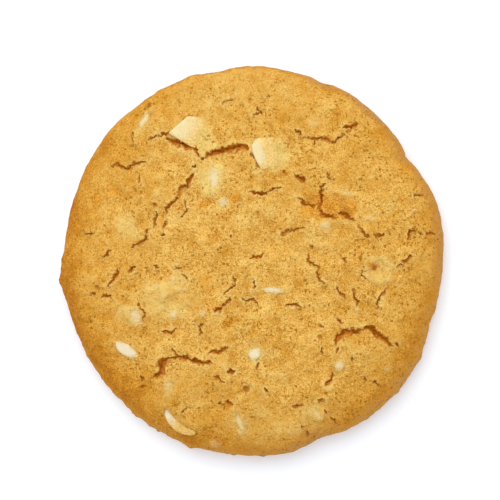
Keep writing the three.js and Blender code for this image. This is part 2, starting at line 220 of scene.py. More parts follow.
# The film over a piece that shows its edge, and over a soft one: the crumb and grain that it keeps,
# what it gains in thickness towards the edge, the shares of the piece where it starts to close and to
# hide the piece, how much of the white always comes through, and where the white starts to fade and
# has faded, as shares of its ellipse. `edge` is the share of the piece past which its white fades.
FIRM = dict(
    crumb=0.1, grain=0.07, thickens=0, closes=0.9, hides=0.9,
    comes_through=0, fade=(0.35, 1.3), edge=0.95,
)  # fmt: skip
SOFT = dict(
    crumb=0.14, grain=0.09, thickens=0.15, closes=0.82, hides=0.65,
    comes_through=0.8, fade=(0.1, 1.2), edge=0.6,
)  # fmt: skip


def turned(x, y, degrees):
    """A point's place along and across a direction."""
    c, s = math.cos(math.radians(degrees)), math.sin(math.radians(degrees))
    return c * x + s * y, c * y - s * x


def corner_share(corners, x, y):
    """1 on the outline through the corners, less inside it, with the corners a little rounded."""
    total = 0
    for (ax, ay), (bx, by) in zip(corners, corners[1:] + corners[:1]):
        nx, ny = by - ay, ax - bx
        total = total + np.maximum(0, (nx * x + ny * y) / (nx * ax + ny * ay)) ** CORNER_POWER
    return total ** (1 / CORNER_POWER)


def chip_reach(piece, angle):
    """How far a chip's ragged outline swings out or in from its ellipse at an angle."""
    phase = piece["at"][0] - piece["at"][1]
    return 1 + sum(swing * np.sin(turns * (angle + phase)) for turns, swing in CHIP_SWINGS)


def piece_share(piece, x, y):
    """How far out a point in the plan lies in a piece: 0 in its middle, 1 on its outline."""
    if "arc" in piece:
        arc = piece["arc"]
        dx, dy = x - arc["centre"][0], y - arc["centre"][1]
        along = turn_from(arc["middle"], bearing(dx, dy)) / arc["half_angle"]
        taper = ARC_END + (1 - ARC_END) * np.cos(math.pi / 2 * np.clip(along, -1, 1))
        across = (np.hypot(dx, dy) - arc["radius"]) / (arc["width"] / 2 * taper)
        return (np.abs(along) ** ARC_END_POWER + np.abs(across) ** ARC_END_POWER) ** (1 / ARC_END_POWER)
    dx, dy = x - piece["at"][0], y - piece["at"][1]
    if "corners" in piece:
        return corner_share(piece["corners"], dx, dy)
    u, v = turned(dx, dy, piece["turn"])
    u, v = u / (piece["size"][0] / 2), v / (piece["size"][1] / 2)
    return np.hypot(u, v) / chip_reach(piece, np.arctan2(v, u))


def piece_plan(piece, u, v):
    """The place in the plan of a point of the unit disc stretched over the piece."""
    if "arc" in piece:
        arc = piece["arc"]
        square = (np.abs(u) ** ARC_END_POWER + np.abs(v) ** ARC_END_POWER) ** (1 / ARC_END_POWER)
        u, v = np.array([u, v]) * np.hypot(u, v) / np.maximum(square, TINY)
        angle = np.radians(arc["middle"] + u * arc["half_angle"])
        taper = ARC_END + (1 - ARC_END) * np.cos(math.pi / 2 * u)
        r = arc["radius"] + v * arc["width"] / 2 * taper
        return arc["centre"][0] + r * np.cos(angle), arc["centre"][1] + r * np.sin(angle)
    x, y = piece["at"]
    if "corners" in piece:
        grow = np.hypot(u, v) / np.maximum(corner_share(piece["corners"], u, v), TINY)
        return x + u * grow, y + v * grow
    reach = chip_reach(piece, np.arctan2(v, u))
    dx, dy = turned(u * reach * piece["size"][0] / 2, v * reach * piece["size"][1] / 2, -piece["turn"])
    return x + dx, y + dy


def piece_top(piece, x, y):
    """Height of a piece's crowned, leaning top over a point of the plan."""
    share = np.minimum(piece_share(piece, x, y), 1)
    _, across = turned(x - piece["at"][0], y - piece["at"][1], piece["turn"])
    crest = crust_height(*piece["at"]) + piece["proud"] + across * math.tan(math.radians(piece["lean"]))
    return crest - CROWN * (1 - (1 - share**CROWN_POWER) ** (1 / CROWN_POWER))


def ellipse_share(piece, key, x, y):
    """1 on the edge of one of a piece's two ellipses, less inside it."""
    ox, oy, length, width, turn = piece[key]
    u, v = turned(x - piece["at"][0] - ox, y - piece["at"][1] - oy, turn)
    return np.hypot(u / length, v / width)


def bare_share(piece, x, y):
    """1 on the edge of a piece's bare patch, less inside it."""
    share = piece_share(piece, x, y)
    if "bare" not in piece:
        return share
    return np.maximum(ellipse_share(piece, "bare", x, y), share - BARE_INSET)


def film_over(piece):
    """How the film of dough lies over a piece."""
    return SOFT if "soft" in piece else FIRM


def whiteness(piece, x, y):
    """How white a piece shows at a point, through what film is left on it there."""
    share = ellipse_share(piece, "white", x, y)
    return piece["clean"] * (1 - smoothstep(share, *film_over(piece)["fade"]))


# ---------------------------------------------------------------- Dough: its cracks and its mesh
# The crust's cracks follow the pull of the rising middle: a few wide arcs over the chunks, and
# many short ones between them. Pits are burst bubbles. Specks are crumbs of nut and chocolate.
CRACKS = [
    # upper left: width, then the points along the middle
    (0.6, (-28.3, 19.5), (-27.2, 19.8), (-26, 19.2), (-25.2, 18.7), (-24, 19), (-23.2, 19.8),
     (-20.6, 20.3)),
    (0.46, (-22.9, 18), (-22.5, 17.3), (-22.2, 16.3), (-22, 15.6)),
    (0.46, (-23.8, 26.6), (-23.8, 25.4), (-23.6, 24)),
    (0.36, (-20.3, 24.7), (-19.3, 25.1), (-18.4, 25.6)),
    (0.5, (-18.4, 25.6), (-17.9, 25.6), (-17.4, 26), (-16.9, 25.8), (-16.1, 26.2)),
    (0.42, (-16, 26), (-14.4, 27.2), (-13.1, 28.6), (-12.3, 29), (-11.2, 29.7)),
    (1.4, (-16.6, 25.1), (-15.4, 24.5), (-14.4, 24.0), (-13.3, 23.6), (-12.4, 23.1),
     (-11.6, 22.9), (-10.7, 22.8)),
    (0.8, (-11.8, 22.9), (-10.8, 22.8), (-10.1, 21.9)),
    (0.5, (-10.6, 22.5), (-10.2, 21.6), (-9.6, 20.9)),
    (0.5, (-9.6, 20.6), (-8.8, 20.5)),
    (1.4, (-8.2, 20.8), (-7.4, 21.5), (-6, 22), (-4.6, 22.2), (-2.4, 22.5), (-0.9, 23.1), (0.3, 22.4)),
    (0.46, (0.9, 21.4), (1.6, 20.9), (2.2, 19.9), (2.5, 18.6), (3, 17.8)),
    (0.46, (-5, 32), (-4, 32.5), (-2.9, 32.7), (-2.7, 33.1)),
    (0.46, (4.2, 33), (5, 33.6)),
    (0.42, (1.2, 29.1), (2.2, 29.6), (3, 29.9), (2.4, 30.6), (2.4, 31.2)),
    # the long crack that runs down and to the left
    (0.5, (-10.3, 19), (-11, 18.6)),
    (0.8, (-10.8, 17.4), (-11.5, 16.5), (-12, 15.6), (-12.3, 14.8), (-13.4, 14.4),
     (-13.7, 13.5), (-13.9, 12.6)),
    (0.6, (-13.9, 12.6), (-14.6, 11.8), (-15.6, 11.1), (-16.2, 10.5), (-16.4, 9.1)),
    (0.45, (-16, 8.1), (-16.6, 7.2), (-17.2, 6.2)),
    (0.46, (-17.4, 4.8), (-16.6, 5.2)),
    (0.42, (-12.5, 12), (-12.3, 11), (-12.2, 10), (-12.8, 9.1), (-13.8, 8.4)),
    (0.42, (-19.3, 11.5), (-18.7, 10.5)),
    (0.36, (-18.4, 9.6), (-18.9, 8), (-18.8, 6.8), (-19.2, 6)),
    (0.7, (-20.1, 6.2), (-20.6, 5.2), (-20.8, 4), (-21.6, 3.4), (-22.6, 3), (-23.6, 2.6)),
    # left
    (0.5, (-29.9, 0.3), (-29.1, 1), (-28.7, 1.7), (-28, 1.6)),
    (0.46, (-34.3, 6.4), (-33.9, 5.6), (-33.3, 5.3), (-32, 5.4)),
    (0.7, (-26.6, -1.6), (-26.6, -2.8), (-27.1, -3.6), (-28, -4.8), (-28.5, -5.9)),
    (0.7, (-22.8, -1.4), (-23.7, -2), (-24.3, -3)),
    (0.6, (-30.2, -7.7), (-29, -7.6), (-28, -7.9)),
    (0.5, (-32.4, -7.1), (-31.6, -7.1)),
    (0.5, (-19.2, -1.2), (-18.1, -1.7)),
    (0.46, (-14.6, -1.7), (-13.3, -2)),
    (0.42, (-13.4, -3.1), (-12.4, -3.7), (-11.6, -4.2)),
    (0.5, (-22.2, -8.8), (-22, -9.8), (-21.2, -10.4), (-20.7, -11.2), (-21, -12), (-21.5, -13)),
    # upper right
    (0.46, (10, 26.2), (10.8, 25.6), (11.4, 25.2)),
    (0.5, (12.4, 24.8), (13.4, 24.5), (16, 24.4), (17.2, 24), (18.3, 23.8), (18.8, 24.6), (20.2, 25.3)),
    (0.42, (13.8, 24.2), (14, 23.2), (14.1, 22.6)),
    (1.0, (20.2, 26.7), (21.3, 26.9), (22.6, 27.6)),
    (0.42, (16.6, 17.4), (16.8, 16.4), (17.6, 15.8), (18.2, 15.6)),
    (1.1, (10.2, 16.6), (11.2, 16.2), (12.2, 15.2)),
    # right of the middle
    (0.8, (1.2, 13.6), (2.2, 13.2), (3.2, 13.2), (4.4, 13.5)),
    (0.5, (4.4, 13.5), (5.4, 14), (7.2, 14.2)),
    (0.9, (16.2, 15), (15.4, 14.2), (15.2, 13.2), (15.3, 12), (15.2, 11), (15, 10.2)),
    (0.6, (10.7, 12.2), (11.5, 11.8), (11.9, 10.9), (13, 10.8), (14.2, 10.5)),
    (0.8, (14.8, 10), (15.4, 9.3), (16.2, 8.5), (17.2, 8.4), (18.5, 7.9)),
    (0.7, (19.3, 8.9), (20.3, 8.7), (21, 8), (22.2, 7.5)),
    (0.5, (23, 6.4), (23.8, 5.5), (24.5, 4.5), (25.2, 4.1)),
    (0.5, (26.2, 4.4), (27.2, 4.3), (28.2, 4.7)),
    (0.42, (34, 12.6), (35, 12.7), (35.8, 12.9)),
    (0.7, (34.5, 5.5), (33.3, 5.5), (33, 4.6), (33, 3.6)),
    (0.46, (35, 5.2), (35.6, 4.7)),
    (0.5, (36.4, 4.6), (37.2, 4.9), (38.2, 4.8)),
    (0.9, (31.8, -0.9), (32.6, -0.7), (33.2, 0), (33.8, 0.4)),
    (0.42, (30.4, -2), (31.6, -1.6)),
    (0.5, (7, 4.5), (8, 5), (9, 5.6), (9.8, 5.7), (11, 6), (12, 6.2)),
    (0.5, (13.2, 2.4), (13.7, 1.6)),
    (0.5, (12.8, 0.6), (12.6, -0.6), (13.8, -1.6), (14.8, -2), (14.7, -3), (15, -4.5), (15.9, -5)),
    (0.5, (18.4, -6), (18.9, -6.8), (19.5, -7.3), (20.4, -8.2)),
    (0.55, (22.1, -6.2), (21.9, -7.2), (22.1, -8), (22.6, -9), (22.5, -10)),
    (0.46, (24.4, -2.7), (23.6, -3), (24, -3.8), (24.6, -4.4)),
    (0.5, (28.4, -6.4), (28, -7.4), (27.2, -8), (26.8, -8.6), (26.7, -9.6), (26.7, -10.5)),
    (0.5, (18.7, -12.3), (19.8, -13.3)),
    (0.42, (19.4, -0.2), (20.2, -0.6), (20.5, -1.1)),
    # middle
    (0.5, (1, 0), (2.2, 0.2), (3, 0.3), (3.6, 1.2)),
    (0.42, (-3.2, 4), (-2.8, 4.8)),
    (0.45, (1.8, -4.3), (1.7, -5.4), (1.5, -6.3)),
    (0.5, (-2.8, -3.5), (-2.4, -4.6), (-2.2, -5.5), (-3, -6), (-3.6, -6.8), (-4.4, -7.3)),
    (0.5, (-3.2, -8), (-3.9, -9), (-5, -9.8)),
    (0.9, (-6.3, -11), (-5.1, -10.2)),
    (0.45, (-0.8, -8.2), (0.6, -8.5), (1.8, -8.4), (2.4, -9.2), (2.7, -9.8)),
    (0.5, (8, -9.7), (9.4, -9.7), (10.4, -9.7), (11.2, -10)),
    # the arc on the lower right
    (1.1, (18.3, -17.6), (18.4, -16.6), (19.2, -15.8), (20.2, -15), (21.4, -15), (22.6, -15.2),
     (23.8, -14.9)),
    (0.9, (23.8, -14.9), (24.2, -14.4), (25.6, -14.4), (26.2, -15.6), (27.2, -15.9),
     (28.6, -17), (29.4, -17.9)),
    (0.5, (30.3, -17.3), (30.7, -18.1)),
    (0.46, (18.7, -18.3), (18.6, -19.2)),
    (0.46, (15.5, -18.2), (15.4, -19), (15.8, -19.8)),
    (0.5, (14.6, -13.6), (15.6, -14)),
    (0.7, (17.6, -23.4), (17.3, -24.6), (16.6, -25.2), (16, -26)),
    (0.6, (15.8, -28.8), (15, -29), (14.7, -29.5)),
    (0.42, (15.9, -31), (16, -31.6)),
    (0.46, (17, -32.2), (17.6, -32.9), (18.2, -33.6)),
    (0.46, (11.5, -34), (11.2, -34.8)),
    (0.5, (12, -35.4), (12.4, -36.2)),
    (0.5, (25.8, -25.1), (26.6, -25.5), (27, -26)),
    (0.42, (24, -24), (24, -25.2)),
    (0.42, (21.4, -20), (21.6, -20.9)),
    # the arc on the lower left
    (1.2, (-19.2, -24.2), (-17.6, -23.6), (-17.4, -22.2), (-17, -21.2), (-16.2, -20.5), (-15.2, -20.3)),
    (0.9, (-15.4, -20.4), (-14, -20.1), (-12.6, -20.2), (-11.4, -20.6), (-9.2, -21.2),
     (-8, -21.5), (-7.2, -20.8)),
    (0.6, (-14.2, -19.8), (-14.8, -19), (-15.2, -18.5)),
    (0.6, (-7.6, -19.2), (-6.4, -18.9), (-5.4, -19.1), (-4.7, -18.4), (-3.6, -18.2)),
    (0.5, (-17.5, -14.6), (-16.2, -15.2), (-15.4, -15.2), (-14.2, -14.4)),
    (0.5, (-8.9, -13.4), (-9.6, -13.9), (-9.2, -14.4), (-9, -15), (-9.1, -15.8)),
    (0.45, (3, -21.1), (2.4, -21.8), (2.5, -22.8)),
    (0.8, (-3.6, -23.2), (-3.1, -23), (-2.2, -22.9)),
    (0.5, (-6.6, -24.1), (-6.1, -24.4), (-5.8, -24.2), (-5.2, -24.8), (-4.4, -25.3)),
    (0.42, (3.8, -26.5), (4.3, -26.9), (4.5, -27.2)),
    (0.7, (-4.3, -29.4), (-3.7, -29), (-3.5, -29.6), (-2.8, -29.7)),
    (0.42, (-5.8, -29.5), (-4.6, -29.8)),
    (0.45, (9.2, -30.3), (10, -30), (11, -30), (11.6, -30)),
    (0.5, (-22, -24), (-21.4, -24.8), (-21, -24.9)),
    (0.5, (-22.2, -26.4), (-21, -26)),
    (0.42, (-13.6, -31.6), (-12.8, -31), (-12.3, -30.3)),
]  # fmt: skip
# Pits: place and width.
PITS = [
    (20.8, 25.8, 0.9), (10.8, 20.5, 0.5), (7.8, 17.6, 0.9), (-4, 10.5, 0.5), (-6.9, 0.5, 0.6),
    (6.2, 2.7, 0.4), (6.9, 2.6, 0.4), (-29.5, 7, 0.7), (-25.6, -7.7, 0.6), (-21, 32.4, 1.3),
    (33.6, 8.3, 0.6), (34, 10, 0.5), (38.8, 3.8, 0.6), (14.2, -7.5, 0.6), (19.2, -4.7, 0.5),
    (19, -2.9, 0.5), (9, -2.7, 0.5), (15.1, -16, 1.1), (16.2, -27.4, 0.8), (21.4, -31.8, 0.5),
    (5.8, -18, 0.5), (7.7, -14.1, 0.5), (9.7, -13.8, 0.5), (-7.2, -34.3, 0.6), (-6.3, -34.2, 0.5),
    (0, -26.5, 1.7), (-31, -5.8, 1.2), (26.2, -2.2, 1.1),
]  # fmt: skip
# Specks fused into the crust: place, length, width, turn and how white they are.
SPECKS = [
    (-4.5, 11.5, 2.3, 2, 0, 0.68), (-15, -11.5, 2.2, 1.8, 20, 0.55),
    (-8.8, -11.2, 1.8, 1.6, 0, 0.5), (-24.6, 6.3, 3, 2.6, 30, 0.17),
    (-16.5, -7.3, 1.8, 1.5, 0, 0.4), (16.4, 6.3, 2.8, 2.4, 40, 0.5),
    (13.8, 27.4, 3.4, 1.6, 10, 0.3), (20.8, 13, 3.8, 1.3, -12, 0.35), (25.3, 8, 4, 1.9, 10, 0.35),
    (9.4, -35.4, 3, 1.1, 0, 0.35), (-6.9, -37.8, 2.6, 1.8, -15, 0.3), (34.4, 9.6, 1, 0.8, 0, 0.6),
    (28.6, -22.6, 2.4, 1.4, 40, 0.3), (-1.2, -35, 2, 1.2, -70, 0.5),
    (-5.8, -11.5, 1.2, 0.9, 0, 0.35), (-7.3, -13, 1.4, 1, 0, 0.4), (-18.6, -5.2, 1.8, 1.3, 30, 0.4),
    (-17.2, -9.8, 1.7, 1.2, -20, 0.35), (-13, -6.2, 1.6, 1.2, 10, 0.45),
    (-12.4, -9.4, 1.4, 1, 40, 0.35), (-19.4, -9, 1.4, 1.1, 0, 0.3), (-14.9, -4.4, 1.5, 1.1, 0, 0.4),
    (-24.6, -10.4, 2.8, 2, -40, 0.3), (-11, -7.6, 1.3, 1, 0, 0.3),
]  # fmt: skip
# Areas painted paler where pale chocolate or nut lies close under the crust, and, in the wide areas along
# the top and bottom rims, painted light: place, half widths, turn, strength.
PALE_AREAS = [
    (-16, -8, 6.4, 5.2, 0, 1.15), (-13, -4, 3.5, 2.4, 20, 0.4), (-18.5, -5.5, 2.6, 2, 0, 0.4),
    (27, -2.4, 3.8, 3.4, 0, 0.8), (6, 21.5, 4.5, 4, 0, 0.55), (-9.5, 24, 4, 4, 0, 0.4),
    (-14, -33.4, 2.6, 1.4, -30, 0.7), (-19.6, 30.7, 2.4, 1.6, 50, 0.5), (0, 35, 19, 6, 0, 0.35),
    (-14, 22, 10, 8, 0, 0.08), (-1, -24, 13, 9, 0, 0.16), (2, -35.5, 12, 5.5, 0, 0.4),
    (-7, 16, 4, 4.5, 0, 0.5), (-24.6, 6.4, 3.6, 3.4, 0, 0.85), (-21.5, 28.6, 3.4, 2.2, 60, 0.4),
    (-24.4, -11.2, 4.2, 3.2, 0, 0.7), (19, 12.6, 4.5, 3, 0, 0.2), (25.4, 8, 4.4, 2.4, 0, 0.25),
    (16.6, 5.2, 4.2, 3, 0, 0.25), (-12.5, -24.5, 6, 4, 0, 0.15), (2, -19.4, 3, 2.4, 0, 0.35),
    (-12.6, -33.4, 3.4, 1.6, -25, 0.5), (22.5, -18.5, 4.6, 3, 0, 0.2), (-20, 14, 5, 4, 0, 0.2),
    (4, 9, 9, 7, 0, 0.1), (-1.6, -32.6, 1.8, 4.4, 20, 0.3), (13.8, -32, 4, 3.2, 0, 0.5),
]  # fmt: skip
# Torn patches, which lie low and browned more: place, half widths, turn, strength.
TORN_AREAS = [
    (-8.8, 11.2, 2.2, 1.4, 0, 0.8), (-2, 12.4, 1.8, 1.2, 0, 0.85), (-19.2, 15.2, 2.4, 1.1, 0, 0.5),
    (16.5, 10.6, 7.4, 3.4, -6, 0.85), (19, 5, 1.8, 1.6, 0, 0.5), (-8, -5.6, 3, 2, 0, 0.5),
    (-3.8, -13.2, 1.5, 1.1, 0, 0.8), (2, 0.5, 1.8, 1, 0, 0.5), (-27.6, 14.6, 1.8, 1.2, 0, 0.55),
    (-31, 13, 2, 1.8, 0, 0.45), (33, 17.5, 3, 1.8, -50, 0.5), (26.3, -2.4, 1.5, 1.1, -40, 0.7),
]  # fmt: skip
# Patches that browned more, listed in the same way.
TOASTED_AREAS = [
    (-13.4, -31.6, 3, 1.8, -40, 0.3), (-6.5, -9.5, 2.6, 2, 0, 0.3), (-3.6, -30.2, 1.3, 1.6, 0, 1.2),
    (7.8, 17.6, 1.7, 1.1, 30, 0.8), (-18, -28, 5, 4, 0, 0.2), (13, 17, 2, 1.6, 0, 0.2),
    (-30, 4, 5, 10, 10, 0.2), (-26, -24, 6, 8, 40, 0.25), (31, -8, 3, 8, 0, 0.2),
]  # fmt: skip
# Where the rim is browner, or less brown: direction, spread in degrees and strength.
RIM_BROWNER = [(206, 90, 0.5), (355, 70, 0.25), (332, 30, 0.17), (285, 16, -0.22)]
# Areas where the crust is lumpy, its raised lumps painted paler as painted highlights: place, half widths,
# turn, strength.
LUMPY_AREAS = [
    (-15.5, -7.5, 6.5, 6, 0, 1.4), (24, -22, 10, 9, 0, 0.5), (4, -25, 10, 6, 0, 0.45),
    (16.5, 10.6, 7, 3.2, -6, 1.2), (-9, 12, 4, 3, 0, 0.4), (17, 6, 4, 3, 0, 0.5),
    (27, -3, 5, 5, 0, 0.4), (-3, -12, 6, 4, 0, 0.5), (20, -34, 7, 4, 30, 0.6),
    (-24, 14, 6, 5, 0, 0.3),
]  # fmt: skip
# A shallow bowl with a raised rim, painted paler as a painted highlight: place, radius and height.
BOWL = (26.9, -2.5, 2.4, 0.55)
CRACK_END = 0.35
CRACK_TAPER = 0.6
CRACK_SLOPE = 1.7
CRACK_DEPTH = 0.95
CRACK_DEPTH_PARTS = (0.55, 0.45)
CRACK_SWELL = 1.3
PIT_DEPTH = 0.5
REACH = 2.0
# How far the crack's cut is looked up towards and away from the light, in millimetres, to paint shade on the
# side of a crack turned from the light.
SHADE_PROBE = 0.3
AREA_FADE = (0.35, 1.15)
GRID = 172
ARC_SAMPLES = 4000
FINE_ZONES = (0.7, 0.4)
FOOT_RINGS = 4
UNDERSIDE_RINGS = (0.97, 0.9, 0.8, 0.65, 0.45, 0.25, 0.1)


def crack_cut(x, y, beads=0):
    """Distance outside the nearest crack's edge, and the depth cut, where beads swell the width."""
    outside = np.full(len(x), REACH)
    cut = np.zeros(len(x))
    for width, *route in CRACKS:
        steps = list(zip(route, route[1:]))
        total = sum(math.dist(a, b) for a, b in steps)
        run = 0
        for (ax, ay), (bx, by) in steps:
            length = math.hypot(bx - ax, by - ay)
            near = np.hypot(x - (ax + bx) / 2, y - (ay + by) / 2) < length / 2 + REACH
            px, py = x[near] - ax, y[near] - ay
            t = np.clip((px * (bx - ax) + py * (by - ay)) / length**2, 0, 1)
            away = np.hypot(px - t * (bx - ax), py - t * (by - ay))
            swell = np.abs(np.sin(math.pi * (run + t * length) / total)) ** CRACK_TAPER
            beaded = 1 + (beads[near] if np.ndim(beads) else beads)
            half = width / 2 * CRACK_SWELL * (CRACK_END + (1 - CRACK_END) * swell) * beaded
            deep = CRACK_DEPTH * math.sqrt(width) * (CRACK_DEPTH_PARTS[0] + CRACK_DEPTH_PARTS[1] * swell)
            outside[near] = np.minimum(outside[near], away - half)
            cut[near] = np.maximum(cut[near], deep * np.clip(1 - (away / half) ** CRACK_SLOPE, 0, 1))
            run += length
    return outside, cut


def pit_cut(x, y):
    """Distance outside the nearest pit's edge, and the depth cut at each point."""
    outside = np.full(len(x), REACH)
    cut = np.zeros(len(x))
    for px, py, width in PITS:
        away = np.hypot(x - px, y - py)
        outside = np.minimum(outside, away - width / 2)
        cut = np.maximum(cut, PIT_DEPTH * width * np.clip(1 - (2 * away / width) ** 2, 0, 1))
    return outside, cut


def area_strength(areas, x, y):
    """The summed strength of soft-edged elliptical areas."""
    total = np.zeros(len(x))
    for cx, cy, length, width, turn, strength in areas:
        u, v = turned(x - cx, y - cy, turn)
        total += strength * (1 - smoothstep(np.hypot(u / length, v / width), *AREA_FADE))
    return total


def corners_of(mesh):
    """The places of a bmesh's vertices, in millimetres."""
    return np.array([v.co for v in mesh.verts]) / MM


def move_to(mesh, points):
    """Puts a bmesh's vertices at places given in millimetres."""
    for vert, point in zip(mesh.verts, points * MM):
        vert.co = point


def finished_mesh(mesh, name):
    """Keeps a bmesh as the mesh of an object."""
    made = bpy.data.meshes.new(name)
    mesh.to_mesh(made)
    mesh.free()
    return made


def keep_on_vertices(mesh_data, name, values):
    """Keeps a value for each vertex, for the material to read."""
    layer = mesh_data.attributes.new(name, "FLOAT", "POINT")
    layer.data.foreach_set("value", values.astype(np.float32))


def add_object(name, content):
    made = bpy.data.objects.new(name, content)
    bpy.context.collection.objects.link(made)
    return made


# The top is a square grid stretched over the dome, from the crown to the widest part of the side.
dough_mesh = bmesh.new()
bmesh.ops.create_grid(dough_mesh, x_segments=GRID, y_segments=GRID, size=1)
a, b = (np.array([v.co for v in dough_mesh.verts])[:, :2]).T
wide = np.abs(a) >= np.abs(b)
ring = np.where(wide, np.abs(a), np.abs(b))
slant = np.divide(np.where(wide, b, a), np.where(wide, a, b), out=np.zeros(len(a)), where=ring > 0)
angle = np.where(wide, math.pi / 4 * slant, math.pi / 2 - math.pi / 4 * slant)
angle += np.where(np.where(wide, a, b) < 0, math.pi, 0)
turns = np.linspace(0, math.pi / 2, ARC_SAMPLES)
arc_share = np.sin(turns) ** (2 / DOME_POWER)
arc_height = WIDEST_AT + (THICKNESS - WIDEST_AT) * np.cos(turns) ** (2 / SHOULDER_POWER)
steps = np.hypot(np.diff(arc_share) * RADIUS, np.diff(arc_height))
arc_run = np.concatenate([[0], np.cumsum(steps)])
share = np.interp(ring * arc_run[-1], arc_run, arc_share)
height = np.interp(ring * arc_run[-1], arc_run, arc_height)
radius = share * outline_radius(np.degrees(angle))
x, y = radius * np.cos(angle), radius * np.sin(angle)
height += swell_height(x, y) * (1 - smoothstep(share, *SWELLS_END))
move_to(dough_mesh, np.column_stack([x, y, height]))

# The crust is finer where it is cracked and where a piece shows.
for edge_zone in FINE_ZONES:
    dough_mesh.verts.index_update()
    x, y, z = corners_of(dough_mesh).T
    fine = np.minimum(crack_cut(x, y)[0], pit_cut(x, y)[0]) < edge_zone
    for piece in INCLUSIONS:
        fine |= np.abs(bare_share(piece, x, y) - 1) < edge_zone / 2
    for edge in dough_mesh.edges:
        edge.select = fine[edge.verts[0].index] or fine[edge.verts[1].index]
    bmesh.ops.subdivide_edges(
        dough_mesh, edges=[e for e in dough_mesh.edges if e.select], cuts=1, use_grid_fill=True
    )

# Below the widest part the side curls in to the foot, and the underside is flat.
last_share, last_height = 1, WIDEST_AT
rings = [
    (FOOT_SHARE + (1 - FOOT_SHARE) * math.sin(t), WIDEST_AT * (1 - math.cos(t)))
    for t in (math.pi / 2 * (1 - (i + 1) / FOOT_RINGS) for i in range(FOOT_RINGS))
]
rings += [(FOOT_SHARE * part, 0) for part in UNDERSIDE_RINGS]
edge_loop = [e for e in dough_mesh.edges if e.is_boundary]
for ring_share, ring_height in rings:
    grown = bmesh.ops.extrude_edge_only(dough_mesh, edges=edge_loop)["geom"]
    edge_loop = [g for g in grown if isinstance(g, bmesh.types.BMEdge)]
    verts = [g for g in grown if isinstance(g, bmesh.types.BMVert)]
    grow = ring_share / last_share
    bmesh.ops.scale(dough_mesh, vec=(grow, grow, 1), verts=verts)
    bmesh.ops.translate(dough_mesh, vec=(0, 0, (ring_height - last_height) * MM), verts=verts)
    last_share, last_height = ring_share, ring_height
bmesh.ops.pointmerge(dough_mesh, verts=verts, merge_co=(0, 0, 0))
bmesh.ops.triangulate(dough_mesh, faces=dough_mesh.faces)
bmesh.ops.recalc_face_normals(dough_mesh, faces=dough_mesh.faces)
data = finished_mesh(dough_mesh, "dough_crust")

# The relief of the crust, moved along the smooth surface's normals. Lengths are in millimetres.
TOP_FROM = (4, 6.5)
FOOT_UP_TO = (0, 1.2)
ABOVE_SIDE = 4
BROAD_RELIEF = 0.24
CRUMB_RELIEF = 0.24
GRAIN_RELIEF = 0.1
FLAKE_RELIEF = 0.1
SMOOTH_RIM = (-66, 9)  # direction and half width in degrees
NUB_RELIEF = 0.55
LUMP_RELIEF = 0.38
MOST_LUMPY = 1.4
TORN_DEPTH = 0.3
SPECK_HEIGHT = 0.3
LIP_HEIGHT = 0.1
LIP_WIDTH = 0.6
count = len(data.vertices)
points, normals = np.empty(count * 3), np.empty(count * 3)
data.vertices.foreach_get("co", points)
data.vertex_normals.foreach_get("vector", normals)
points, normals = points.reshape(-1, 3) / MM, normals.reshape(-1, 3)
x, y, z = points.T  # views of the points, so they follow where those are moved
share = share_of_radius(x, y)
on_top = smoothstep(z, *TOP_FROM)
off_foot = smoothstep(z, *FOOT_UP_TO)
broad = noise_at(points, 5.5, 2, 1)
crumb = noise_at(points, 1.7, 3, 2)
grain = noise_at(points, 0.7, 2, 3)
flakes = np.tanh(4 * noise_at(points, 2.8, 3, 11))
warp_x, warp_y = noise_at(points, 1.6, 2, 4), noise_at(points, 1.6, 2, 5)
fray_x, fray_y = noise_at(points, 0.55, 3, 8), noise_at(points, 0.55, 3, 9)
beads = np.clip(0.9 * noise_at(points, 1.2, 2, 10), -0.7, 0.9)
lumps = noise_at(points, 2.4, 3, 12)
nubs = noise_at(points, 2.6, 3, 13)
frayed_x, frayed_y = x + 0.3 * warp_x + 0.34 * fray_x, y + 0.3 * warp_y + 0.34 * fray_y
outside, cut = crack_cut(frayed_x, frayed_y, beads)
# Painted shade: where the cut is deeper just below a point than just above it, the point lies on the side of
# a crack turned from the light.
above = crack_cut(frayed_x, frayed_y + SHADE_PROBE, beads)[1]
below = crack_cut(frayed_x, frayed_y - SHADE_PROBE, beads)[1]
pit = pit_cut(x + 0.15 * warp_x + 0.1 * fray_x, y + 0.15 * warp_y + 0.1 * fray_y)[1]
lift = BROAD_RELIEF * broad + CRUMB_RELIEF * crumb + GRAIN_RELIEF * grain + FLAKE_RELIEF * flakes
lift -= (0.12 * crumb + 0.07 * grain + 0.1 * flakes) * smoothstep(share, 0.93, 1.0)
knobbly = 0.15 + 0.85 * smoothstep(-y + 6 * broad - 0.25 * x, 0, 14)
knobbly *= 1 - hump(bearing(x, y) - SMOOTH_RIM[0], SMOOTH_RIM[1])
rim_nubs = NUB_RELIEF * np.maximum(nubs - 0.2, 0) + 0.12 * np.maximum(crumb - 0.25, 0)
lift += knobbly * rim_nubs * smoothstep(share, 0.9, 0.97)
lumpy = np.clip(area_strength(LUMPY_AREAS, x, y), 0, MOST_LUMPY)
lift += LUMP_RELIEF * lumps * lumpy * on_top
lift -= TORN_DEPTH * np.clip(area_strength(TORN_AREAS, x, y), 0, 1) * on_top
bowl_x, bowl_y, bowl_radius, bowl_height = BOWL
out = np.hypot(x - bowl_x + 0.6 * warp_x, y - bowl_y + 0.6 * warp_y) / bowl_radius
bowl_rim = hump(out - 1, 0.26)
lift += bowl_height * (bowl_rim - 0.8 * hump(out, 0.6))
lips = hump(np.maximum(outside, 0), LIP_WIDTH) * (cut == 0)
speck_white = np.zeros(count)
